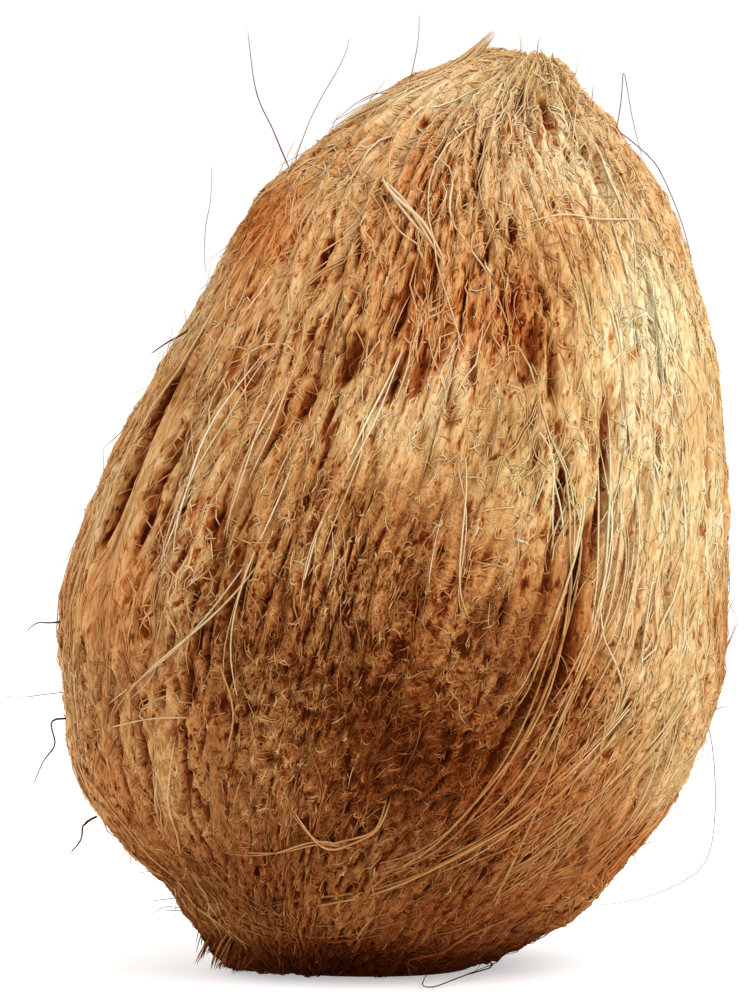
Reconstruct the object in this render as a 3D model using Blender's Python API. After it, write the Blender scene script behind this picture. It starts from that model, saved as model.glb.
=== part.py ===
"""A semi-husked brown coconut: one egg-shaped body of matted fibre, blunt end down, crown up.

Metres, +Z up. The origin is on the surface that the coconut stands on, under the middle of its
bounding box. -Y is the front, where the fibre mat is worn into a shallow hollow.
"""

import math

import bmesh
import bpy
import numpy as np

# Driving dimensions, in metres.
WIDTH = 0.1180          # across the widest ring
HEIGHT = 0.1620         # from the flat spot to the top of the crown
WIDEST_HEIGHT = 0.0600  # height of the widest ring
BASE_DROP = 0.0045      # how far the rounded base would run on below the flat spot
BASE_POWER = 0.60       # 0.5 would make the lower half a true ellipse
CROWN_RISE = 0.0006     # how far the point would run on above the crown's flat top
DEPTH_RATIO = 0.985     # depth over width

# The upper half narrows as (1 - s ** SHOULDER_POWER) ** POINT_POWER, with s from 0 to 1.
SHOULDER_POWER = 1.65
POINT_POWER = 0.60
SHOULDER_SWELL = 0.0015  # added to the radius at SWELL_SHARE of the upper half
SWELL_SHARE = 0.76
SWELL_SPAN = 0.13

# Where the middle of each ring stands: the base and the crown lean away from the widest ring.
BASE_LEAN = -0.0045     # reached at the flat spot
BASE_LEAN_POWER = 1.5
SHOULDER_LEAN = 0.0105  # reached at SHOULDER_END of the upper half
SHOULDER_END = 0.70
CROWN_HOOK = 0.0135     # added at the very top, and felt only near it
CROWN_HOOK_POWER = 11
CROWN_BACK = 0.0030     # how far the crown also leans to the back

# Relief of the husk, in metres.
RIDGE_COUNT = 3
RIDGE_SHARE = 0.022     # ridge height as a share of the ring's radius
FURROWS = ((19, 0.00025, 0.4), (13, 0.00030, 2.1), (7, 0.00045, 4.0))  # count, depth, phase
FURROW_DRIFT = 0.3      # radians that a furrow moves round the body from base to crown
FURROW_FADE = 0.035     # the furrows fade out on rings of less than this radius
PATCH_DEPTH = 0.0012    # worn hollow on the front
PATCH_HEIGHT = 0.0560
PATCH_HALF_WIDTH = 0.0300
PATCH_HALF_HEIGHT = 0.0420

RING_POINTS = 84
LOWER_RINGS = 18
UPPER_RINGS = 28
SHARP_EDGE = math.radians(35)

HUSK_COLOR = (0.565, 0.285, 0.095, 1.0)
HUSK_ROUGHNESS = 0.85


def ring_heights():
    """Heights of the rings: closer together at the base and at the crown, where the outline turns."""
    lower = WIDEST_HEIGHT * (1 - np.cos(np.linspace(0, math.pi / 2, LOWER_RINGS)))
    rise = HEIGHT - WIDEST_HEIGHT
    upper = WIDEST_HEIGHT + rise * np.sin(np.linspace(0, math.pi / 2, UPPER_RINGS))
    return np.concatenate([lower, upper[1:]])


def half_width(height):
    """Half the width at a height: nearly a quarter ellipse below, a full-shouldered point above."""
    below = np.clip((WIDEST_HEIGHT - height) / (WIDEST_HEIGHT + BASE_DROP), 0, 1)
    above = np.clip((height - WIDEST_HEIGHT) / (HEIGHT + CROWN_RISE - WIDEST_HEIGHT), 0, 1)
    lower = (1 - below**2) ** BASE_POWER
    upper = (1 - above**SHOULDER_POWER) ** POINT_POWER
    swell = SHOULDER_SWELL * np.exp(-(((above - SWELL_SHARE) / SWELL_SPAN) ** 2))
    return WIDTH / 2 * lower * upper + swell


def ring_middle(height):
    """Sideways and backward place of a ring's middle, for a base and a crown that lean apart."""
    below = np.clip((WIDEST_HEIGHT - height) / WIDEST_HEIGHT, 0, 1)
    above = np.clip((height - WIDEST_HEIGHT) / (HEIGHT - WIDEST_HEIGHT), 0, 1)
    shoulder = np.clip(above / SHOULDER_END, 0, 1)
    eased = shoulder**2 * (3 - 2 * shoulder)
    base = BASE_LEAN * below**BASE_LEAN_POWER
    crown = CROWN_HOOK * above**CROWN_HOOK_POWER
    return base + SHOULDER_LEAN * eased + crown, CROWN_BACK * above**2


def relief(angle, height, radius):
    """How far the husk stands out: three blunt ridges, drifting furrows and the worn front hollow."""
    ridges = -RIDGE_SHARE * radius * np.sin(RIDGE_COUNT * angle)
    drift = FURROW_DRIFT * height / HEIGHT
    furrows = sum(depth * np.sin(count * (angle + drift) + phase) for count, depth, phase in FURROWS)
    across = radius * np.cos(angle) / PATCH_HALF_WIDTH
    along = (height - PATCH_HEIGHT) / PATCH_HALF_HEIGHT
    front = np.sin(angle) < 0
    patch = -PATCH_DEPTH * front * np.exp(-(across**2) - along**2)
    fade = np.clip(radius / FURROW_FADE, 0, 1) ** 2
    return ridges + fade * furrows + patch


def husk_points():
    """Ring by ring, the points of the husk, with the middle of their box over the origin."""
    height = ring_heights()[:, None]
    angle = np.linspace(0, 2 * math.pi, RING_POINTS, endpoint=False)[None, :]
    radius = half_width(height) + 0 * angle
    radius = radius + relief(angle, height, radius)
    sideways, back = ring_middle(height)
    points = np.stack(
        [
            sideways + radius * np.cos(angle),
            back + DEPTH_RATIO * radius * np.sin(angle),
            height + 0 * radius,
        ],
        axis=-1,
    )
    across = points[..., :2].reshape(-1, 2)
    points[..., :2] -= (across.min(axis=0) + across.max(axis=0)) / 2
    return points


def husk_material():
    material = bpy.data.materials.new("coir_husk")
    material.use_nodes = True
    shader = material.node_tree.nodes["Principled BSDF"]
    shader.inputs["Base Color"].default_value = HUSK_COLOR
    shader.inputs["Roughness"].default_value = HUSK_ROUGHNESS
    shader.inputs["Metallic"].default_value = 0.0
    return material


def make_coconut():
    """Skins the rings with quads and closes them with the flat spot below and the crown's top above."""
    rings = husk_points()
    shape = bmesh.new()
    loops = [[shape.verts.new(point) for point in ring] for ring in rings]
    for lower, upper in zip(loops, loops[1:]):
        for here in range(RING_POINTS):
            after = (here + 1) % RING_POINTS
            shape.faces.new((lower[here], lower[after], upper[after], upper[here]))
    shape.faces.new(list(reversed(loops[0])))
    shape.faces.new(loops[-1])
    mesh = bpy.data.meshes.new("coconut")
    shape.to_mesh(mesh)
    shape.free()
    mesh.shade_smooth()
    mesh.set_sharp_from_angle(angle=SHARP_EDGE)
    mesh.materials.append(husk_material())
    coconut = bpy.data.objects.new("coconut", mesh)
    bpy.context.scene.collection.objects.link(coconut)


for leftover in list(bpy.data.objects):
    bpy.data.objects.remove(leftover, do_unlink=True)
make_coconut()
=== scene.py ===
"""A whole coconut in its coat of coir, standing on its blunt end on a pale floor.

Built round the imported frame: metres, +Z up, the origin on the floor under the nut, and -Y the front.
"""

import math

import bpy
import numpy as np
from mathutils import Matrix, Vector


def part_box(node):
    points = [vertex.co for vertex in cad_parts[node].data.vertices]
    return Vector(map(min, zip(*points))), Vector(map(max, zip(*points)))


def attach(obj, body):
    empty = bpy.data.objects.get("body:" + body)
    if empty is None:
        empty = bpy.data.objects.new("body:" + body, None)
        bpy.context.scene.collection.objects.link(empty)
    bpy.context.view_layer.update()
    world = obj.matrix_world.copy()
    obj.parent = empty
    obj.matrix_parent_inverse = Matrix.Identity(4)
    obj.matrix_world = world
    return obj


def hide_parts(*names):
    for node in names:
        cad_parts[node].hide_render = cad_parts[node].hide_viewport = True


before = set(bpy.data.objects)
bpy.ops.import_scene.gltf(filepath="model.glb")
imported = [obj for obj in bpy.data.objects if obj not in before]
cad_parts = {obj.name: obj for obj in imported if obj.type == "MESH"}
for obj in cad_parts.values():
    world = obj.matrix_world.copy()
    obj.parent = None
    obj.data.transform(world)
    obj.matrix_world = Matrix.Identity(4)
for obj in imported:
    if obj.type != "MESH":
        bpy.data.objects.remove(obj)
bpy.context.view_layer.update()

# ==== THE MATTED COAT ====
# The husk that is left on a semi-husked nut: coir fibres pressed into one thick felt over the
# shell, grown on it and not fixed. It is egg-shaped, blunt end down, with the crown bent over.

NUT_LOW, NUT_HIGH = (np.array(corner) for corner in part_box("coconut"))
NUT_HEIGHT = NUT_HIGH[2] - NUT_LOW[2]
NUT_WIDTH = 0.1180
WIDEST_HEIGHT = 0.0600
BASE_REACH = 0.930
CROWN_REACH = 0.994
SHOULDER_SWELL = 0.0015
MAT_DEPTH = 0.0004         # the felt lies this far inside the solid, and the strands reach its surface
HOLLOW_PAINTED_SHADE = 150.0        # painted shade: tone lost to a metre of depth in the felt's hollows
SPLIT_PAINTED_SHADE = 85           # painted shade: more tone lost in a split, and russet gained there
SPLIT_PAINTED_RED = 200
MAT_COLUMNS = 760
MAT_ROWS = 130
FLOOR_GAP = 0.0002         # the lowest that the felt reaches, and twice the lowest of the fibres
NORMAL_STEP = 0.004        # latitude on each side of a place, from which its normal is found
HALF_TURN = math.pi
TURN = 2 * math.pi
MM = 0.001


def hump(value, middle, half):
    """1 at a middle value, fading to 0 on both sides: a Gaussian with that half width."""
    return np.exp(-(((value - middle) / half) ** 2))


def eased(value, start, end):
    """0 up to start and 1 from end on, with a smooth rise between: 3 s ** 2 - 2 s ** 3."""
    share = np.clip((value - start) / (end - start), 0, 1)
    return share**2 * (3 - 2 * share)


def waves(seed, around, along, across_range, along_range, terms=28):
    """Smooth noise of unit strength that closes round the nut: a sum of cosine waves.

    Each wave has a whole number of turns round the nut, from across_range, a pace from base to
    crown of a third of along_range or more, either way, and its own phase.
    """
    rng = np.random.default_rng(seed)
    total = 0.0
    for _ in range(terms):
        turns = rng.integers(across_range[0], across_range[1] + 1) * rng.choice((-1, 1))
        pace = rng.uniform(0.33, 1.0) * along_range
        total = total + np.cos(turns * around + pace * along + rng.uniform(0, TURN))
    return total * math.sqrt(2 / terms)


def blotches(seed, place, longest, terms=14):
    """Smooth patches of unit strength through space: cosine waves that run every way."""
    rng = np.random.default_rng(seed)
    total = 0.0
    for _ in range(terms):
        run = rng.normal(size=3)
        run *= TURN / (longest * rng.uniform(0.5, 1.0) * np.linalg.norm(run))
        total = total + np.cos(place @ run + rng.uniform(0, TURN))
    return total * math.sqrt(2 / terms)


def ring_shares(latitude):
    """How far a latitude from -1 at the base to 1 at the crown is below and above the widest ring.

    Both are shares of that half's height, which goes with the sine of the latitude.
    """
    sine = np.sin(np.clip(latitude, -1, 1) * HALF_TURN / 2)
    return np.clip(-sine, 0, 1), np.clip(sine, 0, 1)


def ring_radius(latitude):
    """Height and radius of the ring at a latitude.

    The radius is half the width times (1 - s ** 2) ** 0.6 below the widest ring and times
    (1 - s ** 1.65) ** 0.6 above it. Each s ends just short of 1, at BASE_REACH or CROWN_REACH,
    which leaves the flat ends. The shoulder swells out a little.
    """
    below, above = ring_shares(latitude)
    height = WIDEST_HEIGHT * (1 - below) + (NUT_HEIGHT - WIDEST_HEIGHT) * above
    lower = (1 - (BASE_REACH * below) ** 2) ** 0.60
    upper = (1 - (CROWN_REACH * above) ** 1.65) ** 0.60
    swell = SHOULDER_SWELL * hump(above, 0.76, 0.13)
    return height, NUT_WIDTH / 2 * lower * upper + swell


def ring_centre(latitude):
    """Sideways and backward place of a ring's middle: the base leans left, the crown right."""
    below, above = ring_shares(latitude)
    shoulder = eased(above, 0, 0.7)
    return -0.0045 * below**1.5 + 0.0105 * shoulder + 0.0135 * above**11, 0.0030 * above**2


# The solid's crown stands off the middle, and the coat is shifted to stand over it.
solid_points = np.array([corner.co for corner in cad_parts["coconut"].data.vertices])
crown_top = solid_points[solid_points[:, 2] > NUT_HIGH[2] - 0.00005, :2]
HUSK_SHIFT = (crown_top.min(axis=0) + crown_top.max(axis=0)) / 2 - ring_centre(1.0)


def husk_point(angle, latitude, out=0.0):
    """The place at an angle round the nut and a latitude, that far out from the solid's surface.

    Ring centre plus radius times the cosine and sine of the angle, with three blunt ridges.
    out runs along the profile's normal: level at the widest ring and upright at the ends.
    """
    height, radius = ring_radius(latitude)
    sideways, back = ring_centre(latitude)
    height_up, radius_up = ring_radius(latitude + NORMAL_STEP)
    height_down, radius_down = ring_radius(latitude - NORMAL_STEP)
    rise, shrink = height_up - height_down, radius_down - radius_up
    length = np.hypot(rise, shrink) + 1e-9
    reach = radius * (1 - 0.022 * np.sin(3 * angle)) + out * rise / length
    return np.stack([
        sideways + HUSK_SHIFT[0] + reach * np.cos(angle),
        back + HUSK_SHIFT[1] + 0.985 * reach * np.sin(angle),
        height + out * shrink / length,
    ], axis=-1)


def wrapped(angle):
    """An angle brought to between minus half a turn and half a turn."""
    return (angle + HALF_TURN) % TURN - HALF_TURN


def lie(root, latitude):
    """Angle round the nut that a fibre has at a latitude, when its root angle is at the crown.

    The fibres drift a little to the left on the way down, sweep strongly to the left under the
    right-hand side, and part into hanks, with finer and finer waves.
    """
    down = (1 - latitude) / 2
    wrap = wrapped(root)
    sweep = hump(wrap, -0.75, 0.95) * np.clip(0.20 - latitude, 0, 1.3) ** 1.5
    lean = 0.16 * hump(wrap, -1.9, 0.9) * down
    drift = -0.62 * sweep - lean + 0.05 * waves(11, root, latitude, (1, 6), 3.0)
    hanks = 0.0065 * waves(12, root, latitude, (30, 80), 5.0)
    return root + drift + hanks


def front_spot(place, across, up, half_across, half_up):
    """1 in the middle of a soft oval on the front, fading to 0: a Gaussian in x and z, front only."""
    near = np.exp(-(((place[..., 0] - across) / half_across) ** 2)
                  - ((place[..., 2] - up) / half_up) ** 2)
    return near * np.clip(-place[..., 1] / 0.02, 0, 1)


def left_flank(place):
    """1 on the nut's left-hand side at middle height, fading upwards, downwards and inwards."""
    inwards = np.clip((-place[..., 0] - 0.036) / 0.012, 0, 1)
    return inwards * hump(place[..., 2], 0.062, 0.042)


def worn(place):
    """How far the coat is worn down to short pith: a tall oval low on the front."""
    return np.clip(1.6 * front_spot(place, -0.002, 0.056, 0.027, 0.034), 0, 1)


# Soft patches on the front: each one's places across and up and half sizes across and up, in
# millimetres, then how much lighter, redder or more pitted the coat is in its middle.
TONE_PATCHES = (
    (43, 94, 10, 40, 0.12), (28, 140, 16, 16, 0.04), (26, 150, 14, 12, 0.02), (3, 100, 11, 11, 0.17),
    (5, 144, 9, 9, 0.09), (-10, 139, 7, 6, -0.06), (22, 130, 10, 11, -0.05), (-37, 105, 6, 10, -0.04),
    (10, 125, 7, 7, -0.11), (22, 118, 6, 8, -0.10), (-12, 106, 12, 6, -0.06), (-18, 97, 8, 8, 0.05),
    (-32, 96, 12, 16, 0.03), (-12, 89, 12, 8, -0.11), (19, 100, 9, 13, -0.07), (36, 116, 7, 9, 0.09),
    (32, 74, 6, 10, -0.17), (26, 51, 9, 22, -0.11), (44, 51, 12, 12, -0.06), (0, 45, 26, 26, -0.245),
    (12, 40, 10, 14, -0.05), (-30, 52, 8, 20, -0.10), (-24, 46, 10, 12, -0.04), (-35, 72, 7, 11, 0.10),
    (-30, 38, 6, 10, -0.10), (-52, 46, 8, 14, -0.07), (-10, 28, 22, 12, -0.03), (-4, 6, 18, 6, -0.07),
    (-26, 116, 7, 9, -0.08), (34, 14, 7, 8, 0.10), (10, 108, 3, 10, 0.11), (19, 69, 7, 6, -0.06),
    (-23, 83, 6, 8, -0.08), (44, 28, 14, 12, -0.04),
)
RUSSET_PATCHES = (
    (-23, 131, 9, 12, 0.75), (-30, 115, 10, 12, 0.10), (-3, 134, 14, 12, 0.16), (22, 138, 12, 12, 0.10),
    (22, 116, 8, 10, 0.50), (6, 118, 10, 10, 0.22), (-12, 105, 10, 8, 0.22), (16, 88, 10, 14, -0.15),
    (28, 50, 10, 25, 0.35), (10, 10, 50, 22, 0.30), (46, 90, 18, 40, -0.32), (46, 30, 16, 16, 0.16),
    (36, 132, 12, 12, -0.18), (57, 90, 8, 14, -0.18),
)
PIT_PATCHES = (
    (0, 95, 13, 10, -0.25), (2, 115, 18, 12, 0.45), (-13, 103, 12, 12, 0.45), (-31, 64, 7, 20, 0.50),
    (30, 60, 9, 20, 0.40), (22, 116, 8, 10, 0.35), (14, 144, 18, 12, 0.30), (-40, 78, 12, 22, 0.20),
    (50, 110, 14, 26, -0.30),
)


def patches(place, table):
    """The patches of a table added up, each as a front spot times its strength."""
    return sum(strength * front_spot(place, *(MM * number for number in spot))
               for *spot, strength in table)


def tan_tone(place):
    """Lightness of the coat, from 0 dark to 1 pale: its patches, a pale crown, painted shade underneath.
    """
    tone = 0.585 + 0.045 * blotches(15, place, 0.045) + patches(place, TONE_PATCHES)
    tone += 0.06 * np.clip((place[..., 2] - 0.120) / 0.02, 0, 1) + 0.02 * left_flank(place)
    # Painted shade: the coat darkens towards the floor, nearly black where it meets it.
    tone -= 0.33 * np.clip(1 - place[..., 2] / 0.032, 0, 1)
    tone -= 0.35 * np.clip(1 - place[..., 2] / 0.009, 0, 1)
    return tone


STRAW = -0.4               # the least russet: straw-coloured coir


def russet(place):
    """How red-brown the coat is, up to 1, and under 0 where it is straw-coloured.

    It goes by the patches, with more on the left-hand side and on the crown.
    """
    red = 0.12 + 0.12 * blotches(16, place, 0.040) + patches(place, RUSSET_PATCHES)
    red += 0.32 * left_flank(place) + 0.10 * np.clip((place[..., 2] - 0.115) / 0.03, 0, 1)
    return np.clip(red, STRAW, 1)


def pitted(place):
    """How thick the pits stand, from 0 to 1: most on the front, above and beside the worn oval."""
    share = 0.30 + 0.12 * blotches(17, place, 0.035) + 0.06 * np.clip(-place[..., 1] / 0.03, 0, 1)
    share += patches(place, PIT_PATCHES) + 0.25 * worn(place)
    return np.clip(share, 0, 1)


# Where the felt has split along the fibres: root angle, lowest and highest latitude, and half
# width and depth in millimetres.
SPLITS = (
    (-2.58, 0.08, 0.36, 1.5, 2.4), (-2.64, 0.22, 0.40, 1.6, 2.4), (-2.63, -0.14, 0.20, 1.0, 2.0),
    (-2.40, 0.08, 0.26, 0.5, 1.5), (-2.34, 0.03, 0.24, 0.4, 1.4), (-2.07, 0.02, 0.13, 0.5, 1.4),
    (-2.12, -0.04, 0.05, 0.8, 1.7), (-2.17, -0.12, -0.02, 0.8, 1.7), (-2.18, -0.36, -0.10, 0.6, 1.4),
    (-2.33, -0.38, -0.07, 0.6, 1.4), (-2.43, -0.36, -0.08, 0.5, 1.3), (-1.01, 0.08, 0.30, 0.8, 2.2),
    (-1.05, -0.12, 0.16, 1.2, 2.0), (-1.10, -0.26, -0.02, 0.6, 1.3), (-1.13, 0.05, 0.22, 0.6, 1.7),
    (-0.88, 0.03, 0.20, 0.4, 1.3), (-0.68, -0.02, 0.10, 0.4, 1.1), (-0.32, 0.12, 0.24, 0.4, 1.2),
    (-1.78, 0.35, 0.46, 1.4, 2.2), (-1.67, 0.40, 0.49, 0.7, 1.7), (-1.50, 0.34, 0.44, 0.8, 1.8),
    (-1.94, 0.29, 0.36, 1.2, 2.1), (-1.73, 0.28, 0.33, 1.2, 2.0), (-1.62, 0.28, 0.34, 1.2, 2.0),
    (-1.55, 0.31, 0.38, 0.5, 1.4), (-1.25, 0.30, 0.37, 1.0, 1.8), (-1.18, 0.28, 0.35, 0.7, 1.6),
    (-2.04, 0.25, 0.31, 0.9, 1.8), (-2.10, 0.21, 0.27, 0.7, 1.6), (-1.78, 0.46, 0.53, 0.8, 1.7),
    (-1.21, 0.72, 0.82, 0.9, 2.2), (-0.98, 0.67, 0.79, 0.9, 2.2), (-0.68, 0.60, 0.78, 0.7, 2.0),
    (-1.48, 0.55, 0.66, 0.8, 2.0), (-1.82, 0.61, 0.74, 0.6, 1.7), (-1.94, 0.65, 0.76, 0.5, 1.5),
    (-1.92, 0.57, 0.66, 0.5, 1.4), (-2.17, 0.40, 0.50, 0.8, 1.6), (0.10, 0.45, 0.65, 0.6, 1.5),
    (0.35, -0.10, 0.30, 0.8, 1.6), (0.70, -0.50, -0.15, 0.7, 1.5), (1.05, 0.10, 0.45, 0.8, 1.8),
    (1.60, -0.35, 0.05, 1.2, 2.0), (1.70, 0.40, 0.52, 1.0, 1.8), (2.20, 0.00, 0.35, 0.9, 1.8),
    (2.45, 0.55, 0.72, 0.8, 1.8), (1.20, 0.60, 0.76, 0.8, 1.8), (2.75, -0.20, 0.20, 0.9, 1.8),
    (2.95, 0.30, 0.55, 0.7, 1.5), (0.45, 0.62, 0.76, 0.7, 1.7), (1.95, -0.10, 0.10, 0.6, 1.5),
)


def ends_of(latitude, low, high, fullness):
    """1 along a stretch between two latitudes, falling to 0 at both: a parabola cut off at 1."""
    return np.clip((latitude - low) * (high - latitude) * fullness / (high - low) ** 2, 0, 1)


def splits(root, latitude):
    """How deep the felt is split, in metres: a Gaussian across each split, with tapered ends."""
    _, radius = ring_radius(latitude)
    depth = 0.0
    for middle, low, high, half_width, deepest in SPLITS:
        ends = ends_of(latitude, low, high, 6)
        width = MM * half_width * (0.5 + 0.5 * ends)
        across = hump(wrapped(root - middle) * radius, 0, width)
        depth = np.maximum(depth, MM * deepest * ends * across)
    return depth


# Bands where the felt's skin is smooth: root angle, lowest and highest latitude, half width in mm.
SMOOTH_BANDS = (
    (-2.50, -0.06, 0.30, 5.0), (-2.72, -0.10, 0.30, 2.0), (-2.25, -0.42, -0.12, 1.8),
    (-2.08, -0.40, -0.12, 1.8), (-0.42, 0.02, 0.40, 3.0), (-0.15, -0.10, 0.30, 3.0),
    (2.62, -0.18, 0.28, 4.0), (1.75, 0.05, 0.40, 3.2), (1.22, -0.32, 0.10, 3.2), (0.42, -0.18, 0.22, 2.2),
)


def smoothness(root, latitude):
    """1 in the smooth bands of the felt, falling to 0 at their edges."""
    _, radius = ring_radius(latitude)
    share = 0.0
    for middle, low, high, half_width in SMOOTH_BANDS:
        across = np.abs(wrapped(root - middle)) * radius / (MM * half_width)
        share = np.maximum(share, ends_of(latitude, low, high, 8) * np.clip(2.0 - 2.0 * across, 0, 1))
    return share


def towards_ends(latitude):
    """1 on most of the nut, falling to 0 at the middle of its base and of its crown."""
    return np.clip((1 - np.abs(latitude)) / 0.12, 0, 1)


def swells(root, latitude):
    """The coat's large relief in metres: broad lumps, and hanks of felt that run with the fibres.

    The crown's left-hand side lies lower, under the loose fibres there, and its right-hand tip
    too. Low down the nut bulges to the left, and under the bulge it leans to the right, on a foot
    on the left.
    """
    fade = towards_ends(latitude)
    lumps = 0.00050 * waves(23, root, latitude, (3, 9), 5.0)
    hanks = 0.00030 * waves(22, root, latitude, (18, 60), 20.0, 32)
    hanks = hanks * (1 + np.clip((latitude - 0.45) / 0.2, 0, 1))
    tip = np.clip((latitude - 0.68) / 0.10, 0, 1)
    sunk = 0.0006 * np.clip((latitude - 0.5) / 0.12, 0, 1) * (1 - tip) * (1 - np.cos(root))
    sunk = sunk + tip * (0.0010 + 0.0009 * np.cos(root))
    left, right = np.clip(-np.cos(root), 0, 1), np.clip(np.cos(root), 0, 1)
    bulge = 0.0016 * left * hump(latitude, -0.27, 0.11)
    lean = 0.0016 * right * hump(latitude, -0.62, 0.14) - 0.0018 * left * hump(latitude, -0.54, 0.08)
    foot = 0.0030 * left * hump(latitude, -0.80, 0.09)
    return fade * (lumps + hanks + bulge + lean + foot) - sunk


def felt_relief(root, latitude, place):
    """How far the felt stands out: swells and small knots, less pits, splits and the worn oval."""
    fade = towards_ends(latitude) * (1 - 0.85 * smoothness(root, latitude))
    knots = 0.00026 * waves(21, root, latitude, (60, 160), 110.0, 48)
    deep = waves(24, root, latitude, (55, 150), 95.0, 48) - 1.9 + 1.4 * pitted(place)
    pits = 0.0016 * np.clip(deep / 0.6, 0, 1) * (1 - 0.4 * worn(place))
    grains = 0.00036 * worn(place) * blotches(25, place, 0.0036, 40)
    knots = knots * (1 - 0.6 * worn(place))
    sunk = np.maximum(fade * pits, splits(root, latitude)) + 0.0007 * worn(place)
    return swells(root, latitude) + fade * knots + grains - sunk


class Wire:
    """A node socket that takes part in sums: each operator adds the Math node that does it."""

    def __init__(self, tree, socket=None):
        self.tree = tree
        self.socket = socket

    def add(self, kind, settings=None, inputs=None, output=0):
        """Adds a node, sets its settings, then its sockets, and returns one of its outputs."""
        node = self.tree.nodes.new(kind)
        for name, value in (settings or {}).items():
            if name == "stops":
                for element, (place, colour) in zip(ramp_stops(node, len(value)), value):
                    element.position = place
                    element.color = (*colour, 1.0)
            else:
                setattr(node, name, value)
        for key, value in (inputs or {}).items():
            if isinstance(value, Wire):
                self.tree.links.new(value.socket, node.inputs[key])
            else:
                node.inputs[key].default_value = value
        return Wire(self.tree, node.outputs[output])

    def maths(self, operation, first, second, clamp=False):
        """Adds a Math node over two wires or numbers, cut to between 0 and 1 if clamp is set."""
        return self.add("ShaderNodeMath", {"operation": operation, "use_clamp": clamp},
                        {0: first, 1: second})

    def __add__(self, other):
        return self.maths("ADD", self, other)

    __radd__ = __add__

    def __mul__(self, other):
        return self.maths("MULTIPLY", self, other)

    __rmul__ = __mul__

    def __sub__(self, other):
        return self.maths("SUBTRACT", self, other)

    def __rsub__(self, other):
        return self.maths("SUBTRACT", other, self)

    def clamped(self):
        """This value, cut to between 0 and 1."""
        return self.maths("ADD", self, 0.0, clamp=True)

    def feed(self, shader, name):
        """Links this value to an input of the shader."""
        self.tree.links.new(self.socket, shader.inputs[name])


def ramp_stops(node, count):
    """The stops of a colour ramp, made up to that count."""
    elements = node.color_ramp.elements
    while len(elements) < count:
        elements.new(0.5)
    return elements


COIR_STOPS = (
    (0.00, (0.048, 0.009, 0.001)),
    (0.22, (0.160, 0.045, 0.010)),
    (0.42, (0.345, 0.155, 0.049)),
    (0.60, (0.518, 0.324, 0.137)),
    (0.80, (0.640, 0.542, 0.335)),
    (1.00, (0.750, 0.740, 0.630)),
)
RUSSET_TINT = (0.95, 0.52, 0.30)


def coir_shader(name):
    """A new material, its dry matt shader, and a wire in its tree."""
    material = bpy.data.materials.new(name)
    material.use_nodes = True
    shader = material.node_tree.nodes["Principled BSDF"]
    shader.inputs["Specular IOR Level"].default_value = 0.02
    return material, shader, Wire(material.node_tree)


def value_of(wire, name, output="Fac"):
    """A value that the mesh carries, by its name."""
    return wire.add("ShaderNodeAttribute", {"attribute_name": name}, output=output)


def stretched(wire, place, share):
    """A place with its third number cut to a share, so that noise read there is drawn out."""
    return wire.add("ShaderNodeVectorMath", {"operation": "MULTIPLY"}, {0: place, 1: (1, 1, share)})


def noise(wire, place, scale, detail, **others):
    """Soft noise about a half, read at a place, as many waves to the metre as scale says."""
    inputs = {"Vector": place, "Scale": scale, "Detail": detail, **others}
    return wire.add("ShaderNodeTexNoise", inputs=inputs)


def tan_colour(wire, shade, red):
    """The coir's tan ramp at a shade, tinted russet, or straw where red is under 0."""
    colour = wire.add("ShaderNodeValToRGB", {"stops": COIR_STOPS}, {"Fac": shade})
    share = wire.maths("MINIMUM", red, 1.0)
    return wire.add("ShaderNodeMix",
                    {"data_type": "RGBA", "blend_type": "MULTIPLY", "clamp_factor": False},
                    {"Factor": share, 6: colour, 7: (*RUSSET_TINT, 1.0)}, output=2)


def threads(wire, place, scale, width, seed):
    """Pale threads on felt: 1 on the middle level of a smooth noise, falling to 0 at width away."""
    level = wire.add("ShaderNodeTexNoise", {"noise_dimensions": "4D"},
                     {"Vector": place, "W": seed, "Scale": scale, "Detail": 1.0, "Distortion": 0.4})
    away = wire.maths("ABSOLUTE", level - 0.5, 0.0)
    return (1.0 - away * (1 / width)).clamped()


def make_felt_material():
    """Felted coir: threads in two layers over a dark ground, with pits between them.

    On the coat the threads are drawn out along the fibres' lie; on the worn pith they curl. The
    pits are the low places of a drawn out noise, and stand as thick as the mesh's value says. The
    pits and specks are also painted darker and redder: painted shade in them.
    """
    material, shader, wire = coir_shader("felted_coir")
    straight = value_of(wire, "straight", "Vector")
    open_place = wire.add("ShaderNodeTexCoord", output="Object")
    pith = value_of(wire, "pith")
    drawn = stretched(wire, straight, 0.22)
    coat = wire.maths("MAXIMUM", threads(wire, drawn, 900.0, 0.08, 1.0),
                      0.8 * threads(wire, drawn, 1400.0, 0.09, 5.0))
    curled = wire.maths("MAXIMUM", threads(wire, open_place, 700.0, 0.07, 2.0),
                        0.8 * threads(wire, open_place, 1100.0, 0.08, 7.0))
    mixed = coat + pith * (curled - coat)
    slots = noise(wire, stretched(wire, straight, 0.38), 520.0, 3.0, Roughness=0.55)
    specks = noise(wire, stretched(wire, straight, 0.60), 1050.0, 2.0, Roughness=0.6)
    open_share = value_of(wire, "pits") * 0.16
    pit = ((0.35 + open_share - slots) * 8.0).clamped()
    speck = ((0.34 + open_share - specks) * 8.0).clamped()
    dark = wire.maths("MAXIMUM", pit, 0.8 * speck)
    # Painted shade: the pits and specks darken the felt and redden it.
    shade = value_of(wire, "tone") + (mixed - 0.40) * 0.20 - dark * 0.37
    tan_colour(wire, shade, value_of(wire, "russet") + dark * 0.5).feed(shader, "Base Color")
    (0.92 - mixed * 0.15).feed(shader, "Roughness")
    height = mixed * 0.4 - dark
    bump = wire.add("ShaderNodeBump", inputs={"Strength": 0.5, "Distance": 0.0006, "Height": height})
    bump.feed(shader, "Normal")
    return material


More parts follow.
